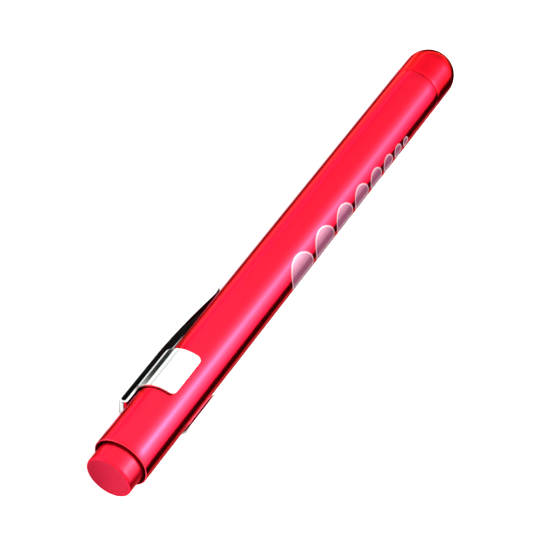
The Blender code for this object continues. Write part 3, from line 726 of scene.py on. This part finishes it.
# ---- Parts inside -------------------------------------------------------------------------------
INSIDE = {
    "button_plunger": WHITE_PLASTIC,
    "ratchet_rotor": WHITE_PLASTIC,
    "led_holder": WHITE_PLASTIC,
    "switch_housing": BLACK_PLASTIC,
    "moving_contact": BRASS,
    "switch_base": BRASS,
    "contact_rivet": BRASS,
    "return_spring": SPRING,
    "battery_spring": SPRING,
    "lock_ring": RING,
    "board_ring": RING,
    "head_seal": RUBBER,
    "led_anode_lead": TINNED,
    "led_cathode_lead": TINNED,
    "circuit_board": BOARD,
    "resistor": CHIP,
}
CELL_INSIDE = {"can": CELL_STEEL, "cap": CELL_STEEL, "core": FILLING, "sleeve": SLEEVE, "washer": WASHER}


def finish_inside():
    """The CAD nodes that stay, and the springs, which are copied from theirs: a material each, and smooth
    shading over their turned faces."""
    chosen = dict(INSIDE)
    for cell in ("rear", "front"):
        chosen |= {f"{cell}_cell_{part}": material for part, material in CELL_INSIDE.items()}
    for name, material in chosen.items():
        node = frame["nodes"][name]
        node.data.materials.clear()
        node.data.materials.append(material)
        node.data.shade_smooth()
        node.data.set_sharp_from_angle(angle=math.radians(35))


def spring_copy(name, node):
    """A piece with the CAD spring's mesh, in place of the CAD spring, which is hidden."""
    spring = bpy.data.objects.new(name, frame["nodes"][node].data.copy())
    bpy.context.scene.collection.objects.link(spring)
    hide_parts(node)
    return spring


def make_springs():
    """Copies of the two springs: one rides on the barrel with a mesh of its own, and the other stays in
    place.
    """
    coil = spring_copy("return_coil", "return_spring")
    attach(coil, "barrel")
    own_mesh(coil)

    coil = spring_copy("battery_coil", "battery_spring")
    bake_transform(coil)


# ---- Camera -------------------------------------------------------------------------------------
# The camera looks at the barrel's face at this angle. The two points are millimetres along the axis,
# to the camera's left of it, and from it towards the camera. The roll is about the line of sight.
VIEW_FACE = math.radians(112)
EYE = (-219.8, 0, 375.2)
TARGET = (61.226, -1.103, 0)
LENS = 139.88
ROLL = math.radians(38.343)


def seen(along, left, towards):
    x = towards * math.cos(VIEW_FACE) + left * math.cos(VIEW_FACE - math.pi / 2)
    y = towards * math.sin(VIEW_FACE) + left * math.sin(VIEW_FACE - math.pi / 2)
    return TO_WORLD @ Vector((x * MM, y * MM, along * MM))


def make_camera():
    eye, target = seen(*EYE), seen(*TARGET)
    forward = (target - eye).normalized()
    right = forward.cross(Vector((1, 0, 0))).normalized()
    up = right.cross(forward)
    rolled_right = math.cos(ROLL) * right + math.sin(ROLL) * up
    rolled_up = math.cos(ROLL) * up - math.sin(ROLL) * right
    data = bpy.data.cameras.new("camera")
    data.lens = LENS
    data.clip_start = 0.005
    data.clip_end = 20
    camera = bpy.data.objects.new("camera", data)
    turn = Matrix((rolled_right, rolled_up, -forward)).transposed()
    camera.matrix_world = Matrix.Translation(eye) @ turn.to_4x4()
    bpy.context.scene.collection.objects.link(camera)
    bpy.context.scene.camera = camera


# ---- Floor and cards ----------------------------------------------------------------------------
def sheet(name, corners, material):
    mesh = bpy.data.meshes.new(name)
    mesh.from_pydata(corners, [], [range(4)])
    mesh.materials.append(material)
    made = bpy.data.objects.new(name, mesh)
    bpy.context.scene.collection.objects.link(made)
    return made


def ramp(tree, factor, stops, interpolation="LINEAR"):
    """A colour ramp of grey stops: (position, value)."""
    made = tree.nodes.new("ShaderNodeValToRGB")
    made.color_ramp.interpolation = interpolation
    elements = made.color_ramp.elements
    while len(elements) < len(stops):
        elements.new(0.5)
    for element, (position, value) in zip(elements, stops):
        element.position = position
        element.color = (value, value, value, 1)
    tree.links.new(factor, made.inputs["Fac"])
    return made.outputs["Color"]


def math_node(tree, operation, *values):
    made = tree.nodes.new("ShaderNodeMath")
    made.operation = operation
    for socket, value in zip(made.inputs, values):
        if isinstance(value, (int, float)):
            socket.default_value = value
        else:
            tree.links.new(value, socket)
    return made.outputs["Value"]


def spread(stops, low, high):
    """Ramp stops whose positions are lengths between two ends, as shares of the way."""
    return [((position - low) / (high - low), value) for position, value in stops]


# The table as reflections meet it: (metres, lightness) across the pen (Y) and along it (X), where the
# lighter of the two counts. Its darkness is painted shadow under the pen and on its -Y side, with a stripe
# of painted shade beside it, and it lifts beyond the pen's ends. LINE is painted light: a glowing stripe
# further out that the metal shows as a bright line, whose distance from the pen changes by LINE_TILT for
# each metre along it.
ACROSS_LOW, ACROSS_HIGH = -0.05, 0.05
ACROSS = ((-0.05, 0.30), (-0.0075, 0.30), (-0.0062, 0.03), (0.0042, 0.03), (0.0052, 0.48), (0.0082, 0.48),
          (0.009, 0.02), (0.0104, 0.02), (0.0112, 0.55), (0.0135, 0.85), (0.05, 0.85))
ALONG_LOW, ALONG_HIGH = -0.14, 0.14
ALONG = ((-0.14, 1.0), (-0.075, 1.0), (-0.068, 0.0), (0.112, 0.0), (0.122, 1.0), (0.14, 1.0))
LINE = ((-0.05, 0.0), (0.0148, 0.0), (0.0166, 1.0), (0.0192, 1.0), (0.0210, 0.0), (0.05, 0.0))
LINE_TILT = 0.035
LINE_LIGHT = 2.0
WHITE = (1, 1, 1, 1)
TABLE_REACH = 3.0
TABLE_GLOW = 0.62
TABLE_PALE, TABLE_DARK = (0.82, 0.82, 0.82), (0.80, 0.80, 0.80)
BOUNCE_Z = -0.2 * MM


def level(low_x, high_x, low_y, high_y, z):
    """Corners of a level rectangle."""
    return [(low_x, low_y, z), (high_x, low_y, z), (high_x, high_y, z), (low_x, high_y, z)]


def make_floor():
    """A pale table. The camera sees a top that is lit from below as well, so its shadows stay faint.
    Light and reflections meet a matt one under it, with painted shadow near the pen and a glowing line of
    painted light."""
    glow = Paint("table_top", Roughness=0.7, Emission_Strength=TABLE_GLOW, Emission_Color=WHITE)
    glow.mottle(glow.noise((30, 30, 30)), TABLE_DARK, TABLE_PALE)
    reach = (-TABLE_REACH, TABLE_REACH, -TABLE_REACH, TABLE_REACH)
    seen_top = sheet("table_top", level(*reach, 0), glow.material)

    matt = Paint("table_bounce", Roughness=0.8, Emission_Strength=LINE_LIGHT)
    place = matt.tree.nodes.new("ShaderNodeSeparateXYZ")
    matt.tree.links.new(matt.place, place.inputs["Vector"])
    x, y = place.outputs["X"], place.outputs["Y"]

    def share(value, low, high):
        return math_node(matt.tree, "DIVIDE", math_node(matt.tree, "SUBTRACT", value, low), high - low)

    across = share(y, ACROSS_LOW, ACROSS_HIGH)
    along = share(x, ALONG_LOW, ALONG_HIGH)
    tilted = share(math_node(matt.tree, "MULTIPLY_ADD", x, LINE_TILT, y), ACROSS_LOW, ACROSS_HIGH)
    # The base colour carries the painted shadow.
    dark = math_node(matt.tree, "MAXIMUM",
                     ramp(matt.tree, across, spread(ACROSS, ACROSS_LOW, ACROSS_HIGH)),
                     ramp(matt.tree, along, spread(ALONG, ALONG_LOW, ALONG_HIGH)))
    matt.tree.links.new(dark, matt.shader.inputs["Base Color"])
    # The glowing line is painted light.
    line = ramp(matt.tree, tilted, spread(LINE, ACROSS_LOW, ACROSS_HIGH), "EASE")
    matt.tree.links.new(line, matt.shader.inputs["Emission Color"])
    bounce = sheet("table_bounce", level(*reach, BOUNCE_Z), matt.material)
    for ray in ("diffuse", "glossy", "transmission", "shadow", "volume_scatter"):
        setattr(seen_top, "visible_" + ray, False)
    bounce.visible_camera = False


# The cards on the table are (low x, high x, low y, high y, glow), and fade out at their edges by a power
# for each axis. FLAG is the standing one: its Y, the heights of its edges and half its length.
CARD_LIT = 1.15
CARD_SHADE = 0.88
CARD_Z = 0.1 * MM
CARD_SOFTNESS = {"X": 4, "Y": 10}
CARD_DARK, CARD_PALE = (0.004, 0.004, 0.004), (0.008, 0.008, 0.008)
FLAG_Y = AXIS_Y - 26 * MM
FLAG_LOW, FLAG_HIGH = 3.5 * MM, 18.5 * MM
FLAG_REACH = 0.5
FOLD = TO_WORLD @ Vector((FOLD_X, 0, FOLD_CENTRE - FOLD_GAP / 2 - SHEET))
BAND_LOW, BAND_HIGH = TAIL_X + BAND_TAIL, TAIL_X + BAND_HEAD
LAID_CARDS = {
    "head_card": (HEAD_HIGH.x + 0.004, HEAD_HIGH.x + 0.08, -0.06, 0.032, 0),
    "fold_card": (FOLD.x - 0.005, FOLD.x + 0.0005, FOLD.y - 0.0035, FOLD.y + 0.003, CARD_LIT),
    "band_card": (BAND_LOW, BAND_HIGH + 0.010, 0.0056, 0.0108, CARD_LIT),
    "band_line": (BAND_LOW + 0.0045, BAND_HIGH + 0.011, 0.0106, 0.0156, 0),
    "band_second": (BAND_LOW + 0.0055, BAND_HIGH + 0.013, 0.0153, 0.0224, CARD_LIT),
    "band_shade": (BAND_LOW + 0.010, BAND_HIGH + 0.024, 0.0218, 0.045, CARD_SHADE),
}


def card_paint(name, glow=0.0):
    """A black card without any gloss, which may glow white."""
    paint = Paint(name, Roughness=0.9, Specular_IOR_Level=0.0, Emission_Strength=glow,
                  Emission_Color=WHITE)
    paint.mottle(paint.noise((40, 40, 40)), CARD_DARK, CARD_PALE)
    return paint


def reflected_card(name, corners, paint):
    card = sheet(name, corners, paint.material)
    for ray in ("camera", "diffuse", "transmission", "shadow", "volume_scatter"):
        setattr(card, "visible_" + ray, False)


def soften_edges(paint):
    """Fades a card out towards its edges."""
    tree = paint.tree
    place = tree.nodes.new("ShaderNodeSeparateXYZ")
    tree.links.new(tree.nodes.new("ShaderNodeTexCoord").outputs["Generated"], place.inputs["Vector"])
    covers = []
    for axis, power in CARD_SOFTNESS.items():
        centred = math_node(tree, "MULTIPLY_ADD", place.outputs[axis], 2.0, -1.0)
        from_middle = math_node(tree, "ABSOLUTE", centred)
        covers.append(math_node(tree, "SUBTRACT", 1.0, math_node(tree, "POWER", from_middle, power)))
    tree.links.new(math_node(tree, "MULTIPLY", *covers), paint.shader.inputs["Alpha"])


def make_cards():
    """Cards that only reflections see: black ones beside the pen and on the table ahead of its head, which
    give the metal its dark edges, and ones beside the clip, which light its fold and draw the dark line
    down its band."""
    standing = [(-FLAG_REACH, FLAG_Y, FLAG_LOW), (FLAG_REACH, FLAG_Y, FLAG_LOW),
                (FLAG_REACH, FLAG_Y, FLAG_HIGH), (-FLAG_REACH, FLAG_Y, FLAG_HIGH)]
    reflected_card("flag_card", standing, card_paint("flag_black"))
    for name, (*sides, glow) in LAID_CARDS.items():
        paint = card_paint(name, glow)
        soften_edges(paint)
        reflected_card(name, level(*sides, CARD_Z), paint)


# ---- Light --------------------------------------------------------------------------------------
# X of a direction is its share along the pen, and the pairs below are (X, share of the strength). The
# room is one background, and the soft boxes are two more: strength, angle from straight up towards +Y,
# tightness across the pen, and its pairs.
ROOM_LIGHT = 2.4
ROOM_ALONG = ((0.0, 0.55), (0.36, 0.75), (0.46, 1.0), (0.54, 1.0), (0.58, 0.80), (0.62, 0.62),
              (0.68, 0.56), (0.74, 0.52), (1.0, 0.42))
WIDE_ALONG = ((0.30, 0.12), (0.46, 0.95), (0.52, 1.0), (0.62, 0.66), (0.70, 0.50), (0.86, 0.1))
NARROW_ALONG = ((0.38, 0.0), (0.48, 1.0), (0.53, 0.85), (0.585, 0.42), (0.68, 0.22), (0.80, 0.0))
SOFTBOXES = (
    (8.0, math.radians(-27), 9.0, WIDE_ALONG),
    (14.0, math.radians(-23), 75.0, NARROW_ALONG),
)
SOFTBOX_TINT = (0.95, 1.22, 0.98, 1)
TINY = 1e-6


def make_light_room():
    """A white room with a wide soft box and a narrow one over the pen, both leaning to its -Y side."""
    world = bpy.data.worlds.new("studio")
    bpy.context.scene.world = world
    world.use_nodes = True
    tree = world.node_tree
    tree.nodes.clear()
    direction = tree.nodes.new("ShaderNodeSeparateXYZ")
    tree.links.new(tree.nodes.new("ShaderNodeTexCoord").outputs["Generated"], direction.inputs["Vector"])
    x, y, z = (direction.outputs[axis] for axis in "XYZ")
    squares = math_node(tree, "MULTIPLY_ADD", y, y, math_node(tree, "MULTIPLY", z, z))
    length = math_node(tree, "ADD", math_node(tree, "SQRT", squares), TINY)
    room_light = math_node(tree, "MULTIPLY", ramp(tree, x, ROOM_ALONG), ROOM_LIGHT)
    room = tree.nodes.new("ShaderNodeBackground")
    tree.links.new(room_light, room.inputs["Strength"])
    total = room.outputs["Background"]
    for strength, lean, tightness, along in SOFTBOXES:
        towards = math_node(tree, "MULTIPLY_ADD", y, math.sin(lean),
                            math_node(tree, "MULTIPLY", z, math.cos(lean)))
        share = math_node(tree, "MAXIMUM", math_node(tree, "DIVIDE", towards, length), 0.0)
        across = math_node(tree, "POWER", share, tightness)
        lit = math_node(tree, "MULTIPLY", across, ramp(tree, x, along))
        softbox = tree.nodes.new("ShaderNodeBackground")
        softbox.inputs["Color"].default_value = SOFTBOX_TINT
        tree.links.new(math_node(tree, "MULTIPLY", lit, strength), softbox.inputs["Strength"])
        both = tree.nodes.new("ShaderNodeAddShader")
        tree.links.new(total, both.inputs[0])
        tree.links.new(softbox.outputs["Background"], both.inputs[1])
        total = both.outputs["Shader"]
    output = tree.nodes.new("ShaderNodeOutputWorld")
    tree.links.new(total, output.inputs["Surface"])


bpy.context.scene.view_settings.view_transform = "Standard"
make_camera()
make_barrel()
make_button()
make_head()
make_light()
make_clip()
make_gauge()
finish_inside()
make_springs()
make_floor()
make_cards()
make_light_room()
